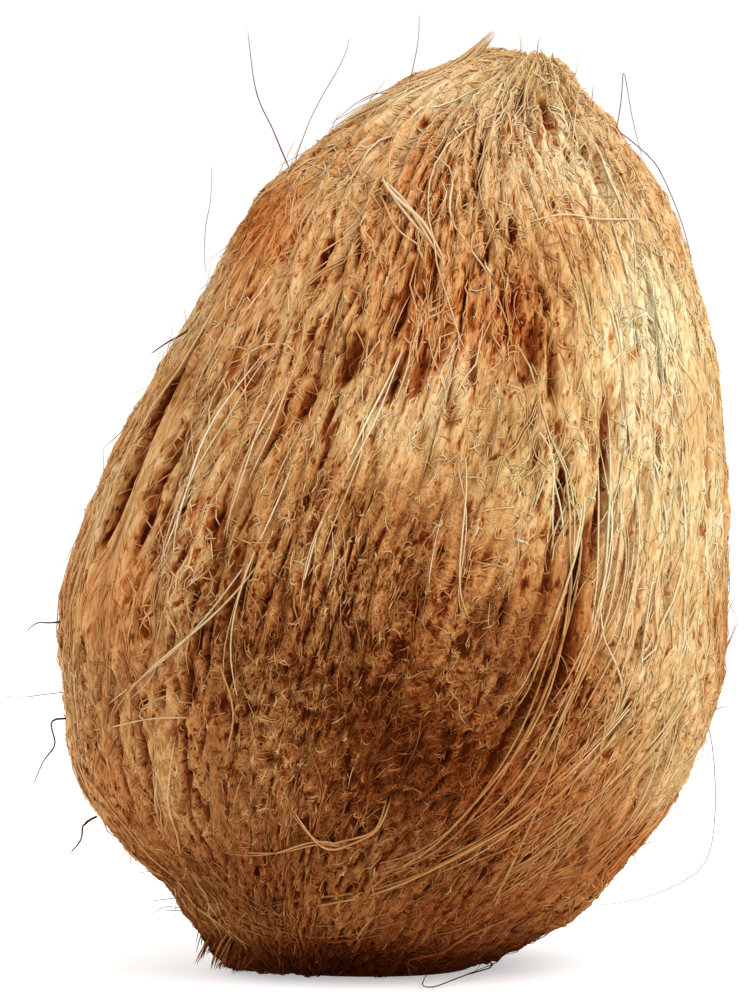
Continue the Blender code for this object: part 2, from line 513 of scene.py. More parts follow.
def make_piece(name, points, faces, values, bake_map, material):
    """One mesh at the origin from vertex and face arrays, with its values and its bake map.

    faces is a list of arrays, each of faces with the same number of corners; bake_map has one
    place for each corner, in the same order.
    """
    mesh = bpy.data.meshes.new(name)
    corners = np.concatenate([group.ravel() for group in faces]).astype(np.int32)
    sizes = np.concatenate([np.full(len(group), group.shape[1]) for group in faces]).astype(np.int32)
    mesh.vertices.add(len(points))
    mesh.vertices.foreach_set("co", points.astype(np.float32).ravel())
    mesh.loops.add(len(corners))
    mesh.loops.foreach_set("vertex_index", corners)
    mesh.polygons.add(len(sizes))
    mesh.polygons.foreach_set("loop_start", (np.cumsum(sizes) - sizes).astype(np.int32))
    mesh.update(calc_edges=True)
    for key, numbers in values.items():
        kind = "FLOAT" if numbers.ndim == 1 else "FLOAT_VECTOR"
        field = mesh.attributes.new(key, kind, "POINT")
        field.data.foreach_set("value" if numbers.ndim == 1 else "vector",
                               numbers.astype(np.float32).ravel())
    layer = mesh.uv_layers.new(name="OFBake")
    layer.uv.foreach_set("vector", bake_map.astype(np.float32).ravel())
    mesh.shade_smooth()
    mesh.materials.append(material)
    piece = bpy.data.objects.new(name, mesh)
    bpy.context.scene.collection.objects.link(piece)
    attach(piece, "root")
    return piece


def combed_out(root, latitude):
    """Where a place on the coat would be if the coat were combed straight on a round post."""
    return np.stack([NUT_WIDTH / 2 * np.cos(root), NUT_WIDTH / 2 * np.sin(root),
                     NUT_WIDTH * latitude + 0 * root], -1)


def make_husk_mat():
    """The mat: a grid whose columns follow the fibres' lie, closed below by the flat spot."""
    even = np.linspace(-1, 1, MAT_ROWS)
    root, latitude = np.meshgrid(np.linspace(0, TURN, MAT_COLUMNS, endpoint=False),
                                 0.75 * even + 0.25 * np.sin(even * HALF_TURN / 2))
    angle = lie(root, latitude)
    relief = felt_relief(root, latitude, husk_point(angle, latitude))
    points = husk_point(angle, latitude, relief - MAT_DEPTH)
    points[0, :, 2] = FLOOR_GAP
    points[..., 2] = np.maximum(points[..., 2], FLOOR_GAP)
    depth = relief - swells(root, latitude)
    split = splits(root, latitude)
    # Painted shade: the felt is darker the deeper its hollows, and darker still in its splits.
    tone = tan_tone(points) - 0.06 + np.maximum(HOLLOW_PAINTED_SHADE * depth, -0.32) - SPLIT_PAINTED_SHADE * split
    # Painted shade: the splits are redder too, the colour of the shade in them.
    red = np.clip(russet(points) + SPLIT_PAINTED_RED * split, STRAW, 1)
    open_share = pitted(points) * (1 - 0.9 * smoothness(root, latitude))
    ends = points[[0, -1]].mean(axis=1)
    here = np.arange(MAT_COLUMNS)
    after = (here + 1) % MAT_COLUMNS
    row = np.arange(MAT_ROWS - 1)[:, None] * MAT_COLUMNS
    quads = np.stack([row + here, row + after, row + MAT_COLUMNS + after, row + MAT_COLUMNS + here], -1)
    last = (MAT_ROWS - 1) * MAT_COLUMNS
    base = np.full(MAT_COLUMNS, MAT_ROWS * MAT_COLUMNS)
    fans = np.concatenate([np.stack([after, here, base], -1),
                           np.stack([last + here, last + after, base + 1], -1)])
    # On the bake map the sides take the middle nine tenths, and each flat end a strip beyond.
    across = np.stack([here, here + 1, here + 1, here], -1) / MAT_COLUMNS
    up = np.array([0, 0, 1, 1]) + np.arange(MAT_ROWS - 1)[:, None, None]
    side_map = np.stack(np.broadcast_arrays(across[None], 0.05 + 0.90 * up / (MAT_ROWS - 1)), -1)
    maps = [side_map.reshape(-1, 2)]
    for first, second, rim, tip in ((here + 1, here, 0.045, 0.0), (here, here + 1, 0.955, 1.0)):
        fan_across = np.stack([first / MAT_COLUMNS, second / MAT_COLUMNS, 0.5 + 0 * here], -1)
        fan_up = np.tile([rim, rim, tip], (MAT_COLUMNS, 1))
        maps.append(np.stack([fan_across, fan_up], -1).reshape(-1, 2))
    straight = combed_out(root, latitude)
    values = {
        "tone": np.concatenate([tone.ravel(), tone[[0, -1]].mean(axis=1)]),
        "russet": np.concatenate([red.ravel(), [0.5, 0.5]]),
        "pith": np.concatenate([worn(points).ravel(), [0.0, 0.0]]),
        "pits": np.concatenate([open_share.ravel(), [0.5, 0.5]]),
        "straight": np.concatenate([straight.reshape(-1, 3), straight[[0, -1]].mean(axis=1)]),
    }
    return make_piece("husk_mat", np.concatenate([points.reshape(-1, 3), ends]),
                      [quads.reshape(-1, 4), fans], values, np.concatenate(maps), make_felt_material())


husk_mat = make_husk_mat()
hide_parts("coconut")

# ==== THE SHORT FELTED FIBRES ====
# The skin of the felt: short broken fibres of coir, half sunk in it, that follow every lump and
# hollow. They lie roughly from crown to base, and curl and tangle where the coat is worn.

FIBRE_SIDES = 3
FIBRE_LATITUDE = 0.985     # the last latitude that a fibre reaches, base and crown
PHASES = 6.28              # the range of a strand's own phase: a whole turn
TRIES = 8                  # places drawn for each fibre that is kept


def tubes(name, place, out, radius, tone, red, material, flatness=0.8):
    """A closed tapered tube along each row of places, all in one piece.

    place is strands by steps by 3, out points away from the nut there, and radius, tone and red
    go by strand and step. The first and last places are the sharp tips. A ring's corners stand
    at even turns about the course, pressed flat by flatness. Each strand has its own cell of the
    bake map. The straight place of a corner is where it would be on the strand pulled straight.
    """
    count, steps = radius.shape
    sides = FIBRE_SIDES
    along = np.gradient(place, axis=1)
    along /= np.linalg.norm(along, axis=-1, keepdims=True) + 1e-12
    side = np.cross(along, out)
    side /= np.linalg.norm(side, axis=-1, keepdims=True) + 1e-12
    up = np.cross(side, along)
    rings = steps - 2
    turn = HALF_TURN / 2 + np.arange(sides) * TURN / sides
    offset = np.cos(turn)[:, None] * side[:, 1:-1, None]
    offset = offset + flatness * np.sin(turn)[:, None] * up[:, 1:-1, None]
    skin = place[:, 1:-1, None] + radius[:, 1:-1, None, None] * offset
    points = np.concatenate([skin.reshape(-1, 3), place[:, 0], place[:, -1]])
    points[:, 2] = np.maximum(points[:, 2], FLOOR_GAP / 2)
    ring = np.arange(sides)
    ring_after = (ring + 1) % sides
    first = (np.arange(count)[:, None, None] * rings + np.arange(rings - 1)[:, None]) * sides
    quads = np.stack([first + ring, first + sides + ring, first + sides + ring_after,
                      first + ring_after], -1)
    start = np.arange(count)[:, None] * rings * sides
    finish = start + (rings - 1) * sides
    tip = count * rings * sides + np.arange(count)[:, None] + 0 * ring
    caps = np.concatenate([np.stack([start + ring, start + ring_after, tip], -1),
                           np.stack([finish + ring_after, finish + ring, tip + count], -1)])
    # A strand's cell of the bake map: steps run across it and sides up it, with a margin all round.
    columns = max(1, math.ceil(math.sqrt(count / 2)))
    rows = math.ceil(count / columns)
    cell_u = (np.arange(count) % columns)[:, None, None, None]
    cell_v = (np.arange(count) // columns)[:, None, None, None]
    step = 1 + np.arange(rings - 1)[:, None, None]
    u = 0.04 + 0.92 * (step + np.array([0, 1, 1, 0])) / (steps - 1) + 0 * ring[:, None]
    v = 0.08 + 0.84 * (ring[:, None] + np.array([0, 0, 1, 1])) / sides + 0 * step
    side_map = np.stack([(cell_u + u) / columns, (cell_v + v) / rows], -1)
    tip_v = 0.08 + 0.84 * (ring[:, None] + np.array([0, 1, 0.5])) / sides
    low_u = 0.04 + 0.92 * np.array([1, 1, 0]) / (steps - 1)
    low_map = np.stack(np.broadcast_arrays((cell_u[:, 0] + low_u) / columns,
                                           (cell_v[:, 0] + tip_v) / rows), -1)
    high_map = np.stack(np.broadcast_arrays((cell_u[:, 0] + 1 - low_u) / columns,
                                            (cell_v[:, 0] + tip_v[:, [1, 0, 2]]) / rows), -1)
    bake_map = np.concatenate([part.reshape(-1, 2) for part in (side_map, low_map, high_map)])
    stride = np.linalg.norm(np.diff(place, axis=1, prepend=place[:, :1]), axis=-1)
    length = np.cumsum(stride, axis=1)
    shift = 0.01 * np.arange(count)[:, None, None]
    straight = np.stack(np.broadcast_arrays(radius[:, 1:-1, None] * np.cos(turn) + shift,
                                            radius[:, 1:-1, None] * np.sin(turn),
                                            length[:, 1:-1, None]), -1).reshape(-1, 3)
    tips = [np.stack([shift[:, 0, 0], 0 * shift[:, 0, 0], length[:, end]], -1) for end in (0, -1)]
    values = {
        key: np.concatenate([np.repeat(numbers[:, 1:-1].ravel(), sides), numbers[:, 0], numbers[:, -1]])
        for key, numbers in (("tone", tone), ("russet", red))
    }
    values["straight"] = np.concatenate([straight, *tips])
    make_piece(name, points, [quads.reshape(-1, 4), caps.reshape(-1, 3)], values, bake_map, material)


def scatter(rng, count, density):
    """Root angles and latitudes spread evenly over the husk's area, then thinned by a density.

    Each of many draws is kept with a chance that goes with ring radius, profile pace and density,
    is small in the smooth bands, and is 0 in the splits.
    """
    root = rng.uniform(0, TURN, count * TRIES)
    latitude = rng.uniform(-0.99, 0.99, count * TRIES)
    _, radius = ring_radius(latitude)
    weight = radius * profile_pace(latitude) * density(husk_point(lie(root, latitude), latitude))
    weight = weight * (1 - 0.85 * smoothness(root, latitude))
    weight = weight * np.clip(1 - splits(root, latitude) / 0.0006, 0, 1)
    keep = rng.uniform(0, 1, len(root)) < weight / np.quantile(weight, 0.98)
    chosen = np.flatnonzero(keep)[:count]
    return root[chosen], latitude[chosen]


def profile_pace(latitude):
    """Metres along the profile for one unit of latitude: the slope of ring height and radius."""
    height, radius = ring_radius(latitude)
    height_up, radius_up = ring_radius(latitude + 0.01)
    return np.maximum(np.hypot(height_up - height, radius_up - radius) / 0.01, 0.03)


def ripple(rng, reach, pace, column, phases=PHASES):
    """A sine wave along each strand, which has its own pace, from a range, and its own phase."""
    return np.sin(reach * rng.uniform(*pace, column) + rng.uniform(0, phases, column))


def laid(angle, latitude, height):
    """The places at a height over the solid's surface, and the way out of the husk there."""
    place = husk_point(angle, latitude, height)
    return place, husk_point(angle, latitude, height + MM) - place


def moved(root, latitude, away, least):
    """A root angle moved sideways by a length, over the ring's radius, which counts as least or more."""
    _, ring = ring_radius(latitude)
    return root + away / np.maximum(ring, least)


def fibre_colour(rng, place, tone_lift, spread):
    """Tone and russet of each strand and step: the coat's own there, and a share of its own.

    On the left-hand side, where they lie flat, the fibres are as brown as the felt under them.
    """
    column = (len(place), 1)
    steps = np.linspace(0, 1, place.shape[1])[None, :]
    tone = tan_tone(place) + tone_lift - 0.06 * left_flank(place) + rng.normal(0, spread, column)
    tone = tone + 0.04 * np.sin(6 * steps + rng.uniform(0, PHASES, column))
    red = russet(place) + 0.12 * left_flank(place) + rng.normal(0, 0.10, column)
    return tone, np.clip(red, STRAW, 1)


def curls(name, seed, count, steps, density, length, stray, bend, lift, girth, tone_lift, material):
    """Short fibres on the felt: from a scattered start, the heading wavers as the fibre runs on.

    The heading starts within stray of the lie, and swings by bend; its cosine and sine, added up
    step by step, give the way across and along the coat, which ring radius and profile pace turn
    into angle and latitude. The height is the felt's there, and lift over it.
    """
    rng = np.random.default_rng(seed)
    root, latitude = scatter(rng, count, density)
    column = (len(root), 1)
    s = np.linspace(0, 1, steps)[None, :]
    heading = HALF_TURN / 2 + rng.normal(0, stray, column) + rng.normal(0, bend, column) * (s - 0.5)
    heading = heading + rng.normal(0, bend * 0.4, column) * ripple(rng, s, (3, 8), column)
    stride = rng.uniform(*length, column) / (steps - 1)
    across = np.cumsum(stride * np.cos(heading), axis=1)
    along = np.cumsum(stride * np.sin(heading), axis=1)
    lat = latitude[:, None] + along / profile_pace(latitude)[:, None]
    lat = np.clip(lat, -FIBRE_LATITUDE, FIBRE_LATITUDE)
    post = moved(root[:, None], lat, across, 0.008)
    angle = lie(post, lat)
    relief = felt_relief(post, lat, husk_point(angle, lat))
    proud = rng.uniform(*lift, column) + rng.uniform(0.0, 0.00020, column) * np.sin(
        HALF_TURN * s * rng.uniform(0.8, 2.2, column))
    place, out = laid(angle, lat, relief - MAT_DEPTH + proud)
    radius = rng.uniform(*girth, column) * (1 - 0.6 * np.abs(2 * s - 1) ** 2)
    tone, red = fibre_colour(rng, place, tone_lift, 0.06)
    # Painted shade: a fibre is darker where the felt under it lies deep.
    tone = tone + HOLLOW_PAINTED_SHADE * (relief - swells(post, lat))
    tubes(name, place, out, radius, tone, red, material, flatness=0.5)


def make_fibre_material(name, roughness):
    """One fibre of coir: the coat's tan, mottled along its length, with a fine grain drawn along it."""
    material, shader, wire = coir_shader(name)
    straight = value_of(wire, "straight", "Vector")
    spots = noise(wire, straight, 450.0, 2.0)
    grain = noise(wire, stretched(wire, straight, 0.12), 9000.0, 1.0)
    shade = value_of(wire, "tone") + (spots - 0.5) * 0.30 + (grain - 0.5) * 0.16
    tan_colour(wire, shade, value_of(wire, "russet")).feed(shader, "Base Color")
    (roughness + (grain - 0.5) * 0.2).feed(shader, "Roughness")
    bump = wire.add("ShaderNodeBump", inputs={"Strength": 0.4, "Distance": 0.0001, "Height": grain})
    bump.feed(shader, "Normal")
    return material


short_coir = make_fibre_material("short_coir", 0.75)
for side, seed, sign in (("front", 31, -1), ("back", 32, 1)):
    curls("felt_coir_" + side, seed, 7600, 6, lambda place: 1.0 * (sign * place[..., 1] > 0),
          (0.002, 0.007), 0.34, 1.1, (-0.00008, 0.00010), (0.00012, 0.00022), 0.01, short_coir)

# ==== THE PITH ON THE WORN OVAL ====
# Where the long fibres have been rubbed off, what is left is cork-like pith and short broken
# fibres: curly, tangled every way, brown, still rooted in the mat.


def pith_density(place):
    """Thick in the worn oval and thin round it."""
    return 0.10 + 1.5 * worn(place)


coir_pith = make_fibre_material("coir_pith", 0.85)
curls("pith_curls", 41, 3400, 7, pith_density, (0.0015, 0.0050), 1.5, 2.6, (-0.0001, 0.0002),
      (0.00014, 0.00026), 0.03, coir_pith)

# ==== THE LONG STRANDS ====
# Whole fibres combed out of the felt by husking: dry and stiff, held at both ends. They lie from
# crown to base, alone or a few together in a hank, and cross each other at small angles.


def shared(members, *values):
    """Each group's values, given to every one of its members."""
    return (np.repeat(value, members, axis=0) for value in values)


def strands(name, seed, hanks, members, steps, density, half_length, slant, wave, lift, girth,
            tone_lift, material, spread=0.0005):
    """Hanks of fibres along the husk's lie, from scattered middles.

    Each hank has some members, which share its course and stay within spread of it. half_length
    is the range of half lengths in latitude, slant the spread of a hank's angle to the lie, wave
    its sideways wander in metres, lift the range of heights over the felt and girth the range of
    radii. Both ends dive into the felt. Those that cross much of the worn oval are left out.
    """
    rng = np.random.default_rng(seed)
    root, latitude = scatter(rng, hanks, density)
    hanks = len(root)
    s = np.linspace(-1, 1, steps)[None, :]
    hank, column = (hanks, 1), (hanks * members, 1)
    half = rng.uniform(*half_length, hank)
    wander = 0.0
    for turns in (0.5, 1.2, 2.6):
        swing = rng.normal(0, wave / turns, hank)
        wander = wander + swing * ripple(rng, HALF_TURN * turns * s, (0.7, 1.4), hank, TURN)
    wander = wander + rng.normal(0, slant, hank) * s * half * 0.09
    half, wander, root, latitude = shared(members, half, wander, root[:, None], latitude[:, None])
    latitude = latitude + rng.normal(0, 0.25, column) * half * (members > 1)
    lat = latitude + s * half * rng.uniform(0.7, 1.1, column)
    lat = np.clip(lat, -FIBRE_LATITUDE, FIBRE_LATITUDE)
    wander = wander + rng.normal(0, spread, column)
    wander = wander + rng.normal(0, spread * 0.6, column) * ripple(rng, s, (2, 6), column)
    post = moved(root, lat, wander, 0.010)
    angle = lie(post, lat)
    height = rng.uniform(*lift, column) + 0.0002 * ripple(rng, HALF_TURN * s, (1, 3), column)
    height = height - np.clip((np.abs(s) - 0.8) / 0.2, 0, 1) ** 2 * rng.uniform(0.0003, 0.0014, column)
    height = height + swells(post, lat) - MAT_DEPTH
    place, out = laid(angle, lat, height)
    radius = rng.uniform(*girth, column) * (1 - 0.6 * np.abs(s) ** 3)
    tone, red = fibre_colour(rng, place, tone_lift, 0.05)
    kept = worn(place).mean(axis=1) < 0.25
    tubes(name, *(part[kept] for part in (place, out, radius, tone, red)), material)


def coat_density(place):
    """Even, with almost none in the worn oval."""
    return 1.0 - 0.98 * worn(place)


def tangle_density(place):
    """As on the coat, and thin on its smooth right-hand side too."""
    return coat_density(place) * (1 - 0.85 * front_spot(place, 0.052, 0.090, 0.020, 0.050))


long_strand = make_fibre_material("long_strand", 0.6)
strands("combed_coir", 34, 1500, 1, 8, coat_density, (0.02, 0.09), 0.3, 0.0006,
        (-0.0003, 0.0002), (0.00012, 0.00024), 0.00, long_strand)
strands("hank_coir", 35, 200, 5, 9, coat_density, (0.03, 0.11), 0.2, 0.0007,
        (-0.0003, 0.0002), (0.00014, 0.00026), 0.01, long_strand, spread=0.00028)
strands("long_coir", 36, 120, 1, 14, coat_density, (0.10, 0.30), 0.3, 0.0016,
        (0.0001, 0.0007), (0.00018, 0.00032), 0.10, long_strand)

curls("tangled_coir", 37, 1200, 8, tangle_density, (0.006, 0.015), 0.80, 2.2, (-0.00015, 0.00012),
      (0.00014, 0.00024), 0.01, short_coir)

# ==== THE LOOSE FIBRES ON THE FRONT ====
# The longest fibres, pulled free of the felt over most of their length: they sweep across the
# front in arcs, catch the light, and cross the others. Each is held by the felt at its ends.


def front_husk(across, up):
    """Angle and latitude of the place on the front that is that far across and up."""
    up = np.clip(up, 0.0005, NUT_HEIGHT - 0.0005)
    lower = np.arcsin(np.clip((WIDEST_HEIGHT - up) / WIDEST_HEIGHT, 0, 1)) * -2 / HALF_TURN
    upper = np.arcsin(np.clip((up - WIDEST_HEIGHT) / (NUT_HEIGHT - WIDEST_HEIGHT), 0, 1)) * 2 / HALF_TURN
    latitude = np.where(up < WIDEST_HEIGHT, lower, upper)
    _, radius = ring_radius(latitude)
    sideways, _ = ring_centre(latitude)
    share = (across - sideways - HUSK_SHIFT[0]) / radius
    return -np.arccos(np.clip(share, -0.995, 0.995)), latitude


def smooth_course(stations, steps):
    """A smooth line through a few stations, given in millimetres, read at even steps.

    Each span is a cubic whose slope at a station is half the way between its neighbours.
    """
    stations = np.asarray(stations, float) / 1000
    before = 2 * stations[:1] - stations[1:2]
    after = 2 * stations[-1:] - stations[-2:-1]
    padded = np.concatenate([before, stations, after])
    t = np.linspace(0, len(stations) - 1, steps)
    span = np.minimum(t.astype(int), len(stations) - 2)
    f = (t - span)[:, None]
    p0, p1, p2, p3 = (padded[span + k] for k in range(4))
    return 0.5 * (2 * p1 + (p2 - p0) * f + (2 * p0 - 5 * p1 + 4 * p2 - p3) * f**2
                  + (3 * p1 - p0 - 3 * p2 + p3) * f**3)


SWEEP_STEPS = 22
# Each loose hank on the front: its fibres, how far they spread, their radius, how pale they are,
# how far they stand out, and the places across and up in millimetres that the hank runs through.
LOOSE_HANKS = (
    (3, 0.7, 0.38, 0.06, 0.8, ((32, 83), (29, 65), (24, 49), (15, 35), (5, 25), (-8, 19))),
    (3, 0.9, 0.32, 0.06, 0.6, ((36, 104), (36, 86), (34, 65), (27, 48), (19, 35), (8, 25))),
    (3, 1.3, 0.28, 0.05, 0.6, ((52, 65), (43, 51), (29, 35), (13, 25), (-2, 18), (-18, 14), (-31, 8))),
    (1, 0.2, 0.28, 0.20, 0.9, ((36, 70), (35, 63), (38, 58), (39, 52))),
    (2, 0.4, 0.20, 0.10, 0.4, ((12, 95), (12.5, 86), (12, 72), (13.5, 65))),
    (2, 0.4, 0.26, 0.16, 0.5, ((22, 103), (26.5, 95), (28, 86), (28, 72))),
    (2, 0.6, 0.34, 0.12, 0.8, ((33, 96), (32, 83), (29, 69), (24, 56), (19, 48))),
    (2, 0.4, 0.26, 0.16, 0.6, ((37, 98), (37.5, 80), (35, 68), (31, 56), (26, 47))),
    (2, 0.5, 0.30, 0.14, 0.6, ((26, 100), (30, 90), (31.5, 78), (30, 66))),
    (3, 0.8, 0.24, 0.12, 0.6, ((38, 92), (40, 78), (38, 66), (33, 56), (26, 42))),
    (6, 1.8, 0.22, 0.03, 0.4, ((46, 52), (36, 33), (22, 20), (6, 11), (-12, 9))),
    (6, 1.8, 0.22, 0.03, 0.4, ((38, 46), (33, 30), (22, 15), (12, 7))),
    (5, 1.6, 0.22, 0.05, 0.4, ((50, 50), (45, 34), (36, 22), (24, 13))),
    (5, 1.6, 0.22, 0.10, 0.4, ((53, 60), (46, 46), (35, 34), (22, 24), (8, 17))),
    (5, 1.4, 0.22, 0.08, 0.4, ((44, 62), (37, 50), (27, 38), (15, 29), (2, 23))),
    (5, 1.6, 0.20, 0.08, 0.4, ((30, 40), (24, 27), (16, 16), (4, 9))),
    (2, 0.4, 0.30, 0.11, 0.6, ((32, 58), (29, 46.5), (26, 36), (19.4, 21.4), (14, 11), (9.5, 4.5))),
    (3, 0.6, 0.26, 0.08, 0.4, ((49, 33), (40, 23), (31, 14), (22, 9))),
    (4, 1.6, 0.20, 0.02, 0.4, ((-34, 20), (-26, 12), (-12, 9), (6, 14), (22, 24))),
    (3, 1.4, 0.20, 0.02, 0.4, ((-40, 33), (-33, 19), (-20, 10), (-4, 7))),
    (2, 0.3, 0.26, 0.12, 0.4, ((4, 118), (-1.5, 105), (-7.5, 93), (-14, 79), (-18, 65))),
    (1, 0.3, 0.24, 0.14, 0.4, ((-6, 111), (-6, 97), (-8.5, 88), (-13, 76))),
    (2, 0.5, 0.24, 0.10, 0.4, ((-16, 112), (-21, 102), (-26, 91), (-31, 79))),
    (3, 0.6, 0.24, 0.10, 0.4, ((-12, 104), (-19, 90), (-25, 76), (-28, 62), (-28, 48))),
    (3, 0.6, 0.22, 0.10, 0.4, ((-22, 112), (-30, 98), (-36, 84), (-40, 72))),
    (2, 0.5, 0.24, 0.12, 0.4, ((-20, 80), (-30, 68), (-42, 55), (-50, 46))),
    (1, 0.2, 0.20, 0.16, 0.4, ((22, 134), (29, 134.5), (36, 133), (47, 133.5))),
    (1, 0.3, 0.24, 0.12, 0.5, ((-57, 43), (-48, 46), (-38, 48), (-31, 50))),
    (2, 0.5, 0.24, 0.14, 0.5, ((-19, 33), (-13, 27), (-8, 27), (-3, 29), (-1, 35))),
    (2, 0.6, 0.24, 0.12, 0.5, ((-33, 24), (-22, 25), (-13, 27), (-4, 24))),
    (1, 0.3, 0.24, 0.16, 0.5, ((-31, 62), (-28, 50), (-29, 38), (-26, 28))),
    (3, 0.18, 0.44, 0.16, 0.9, ((-3, 141.5), (0, 137.8), (3.2, 134), (6.4, 130), (10.2, 125))),
    (1, 0.0, 0.22, 0.10, 0.6, ((-4, 139), (-0.5, 134), (3, 130), (8, 125.5))),
    (1, 0.2, 0.22, -0.30, 0.9, ((16, 93), (19, 93.5), (21.5, 90), (23, 85))),
    (1, 0.2, 0.24, 0.16, 0.5, ((26, 27), (21.8, 18.9), (17.3, 9.6), (12.7, 5.0), (9.5, 2.5))),
)


def loose_hanks(name, seed, table, material):
    """Fibres round each hank's smooth course on the front, closest at its middle.

    The middle stands out, by a sine of the way along, and each end dives into the felt.
    """
    rng = np.random.default_rng(seed)
    s = np.linspace(0, 1, SWEEP_STEPS)[None, :]
    rows = []
    for count, spread, girth, pale, proud, stations in table:
        column = (count, 1)
        course = smooth_course(stations, SWEEP_STEPS)
        sway = rng.normal(0, spread, column) * MM * (0.5 + np.abs(2 * s - 1))
        sway = sway + 0.0005 * ripple(rng, s, (4, 10), column)
        slope = np.gradient(course, axis=0)
        slope /= np.linalg.norm(slope, axis=1, keepdims=True)
        angle, lat = front_husk(course[:, 0] + sway * slope[:, 1], course[:, 1] - sway * slope[:, 0])
        shift = rng.uniform(-0.04, 0.04, column)
        height = MM * (proud * np.sin(HALF_TURN * np.clip(s + shift, 0, 1)) ** 0.5
                       - 2.0 * np.abs(2 * s - 1) ** 6 - 0.5) + rng.uniform(-0.0003, 0.0003, column)
        place, out = laid(angle, lat, height)
        tone, red = fibre_colour(rng, place, pale, 0.07)
        radius = MM * girth * rng.uniform(0.6, 1.15, column) * (1 - 0.75 * np.abs(2 * s - 1) ** 3)
        rows.append((place, out, radius, tone, red))
    tubes(name, *(np.concatenate(part) for part in zip(*rows)), material)


loose_hanks("loose_coir", 61, LOOSE_HANKS, long_strand)

# ==== THE CROWN TUFT ====
# At the pointed end the fibres run together into a blunt, bent-over knot, where the stalk was
# torn off: thick locks with hollows between them, and a frayed tuft over them.

TUFT_STEPS = 15
TUFT_TOP = NUT_HEIGHT - 0.0008
TUFT_CORE = np.array([0.012, 0.0, 0.10])


def crown_tuft(name, seed, locks, members, girth, start, disc, material):
    """Locks of strands that climb the shoulder along the lie, then turn in over the crown.

    A lock's members stand round one course, closest at its ends. The climb is a course on the
    husk from a start latitude; past its middle it eases into a straight line to an end on a
    small disc over the crown.
    """
    rng = np.random.default_rng(seed)
    lock, column = (locks, 1), (locks * members, 1)
    s = np.linspace(0, 1, TUFT_STEPS)[None, :]
    lock_root = (np.arange(locks)[:, None] + rng.uniform(-0.3, 0.3, lock)) * TURN / locks
    lock_start = rng.uniform(*start, lock)
    lock_turn = lock_root + rng.normal(0.5, 0.3, lock)
    lock_reach = disc * rng.uniform(0.0, 1, lock) ** 0.5
    lock_lift = rng.uniform(-0.0004, 0.0004, lock)
    root, low, turn, reach, lift = shared(
        members, lock_root, lock_start, lock_turn, lock_reach, lock_lift)
    lat = np.clip(low + rng.uniform(-0.05, 0.05, column), 0.2, 0.93) * (1 - s) + 0.97 * s
    width = rng.normal(0, 0.0007, column)
    wander = width * np.sin(HALF_TURN * (0.2 + 0.7 * s)) + 0.0004 * ripple(rng, s, (2, 7), column)
    post = moved(root, lat, wander, 0.006)
    height = swells(post, lat) - MAT_DEPTH + lift + rng.uniform(-0.0004, 0.0004, column)
    climb = husk_point(lie(post, lat), lat, height - 200 * width**2 - 0.0012 * np.clip(1 - 5 * s, 0, 1))
    middle = np.append(ring_centre(1.0) + HUSK_SHIFT, TUFT_TOP)
    end = np.stack([middle[0] - 0.0010 + reach * np.cos(turn), middle[1] + reach * np.sin(turn),
                    middle[2] - 60 * reach**2 + 0 * turn], -1)
    end = end + rng.normal(0, 0.0005, (len(root), 1, 3))
    ease = eased(s, 0.6, 1.0)[..., None]
    place = climb * (1 - ease) + end * ease
    out = place - TUFT_CORE
    radius = rng.uniform(*girth, column) * (1 - 0.45 * s**2) * np.clip(6 * s + 0.15, 0, 1)
    tone, red = fibre_colour(rng, place, 0.02, 0.05)
    tubes(name, place, out, radius, tone - 0.12 * (s > 0.9), red, material)


crown_tuft("crown_locks", 72, 16, 11, (0.00020, 0.00036), (0.74, 0.88), 0.0045, long_strand)
crown_tuft("crown_tuft", 71, 60, 1, (0.00012, 0.00022), (0.62, 0.90), 0.0055, long_strand)
curls("crown_fuzz", 73, 1200, 6, lambda place: np.clip((place[..., 2] - 0.118) / 0.03, 0, 1),
      (0.003, 0.008), 0.45, 2.0, (-0.0001, 0.0003), (0.00010, 0.00018), -0.05, short_coir)

# ==== THE STRAY HAIRS ====
# Single fibres that have sprung away from the coat, thin, bent and dark against the light, with
# a torn lock beside the crown and two that curl over the floor. Each is rooted in the felt.

HAIR_STEPS = 18
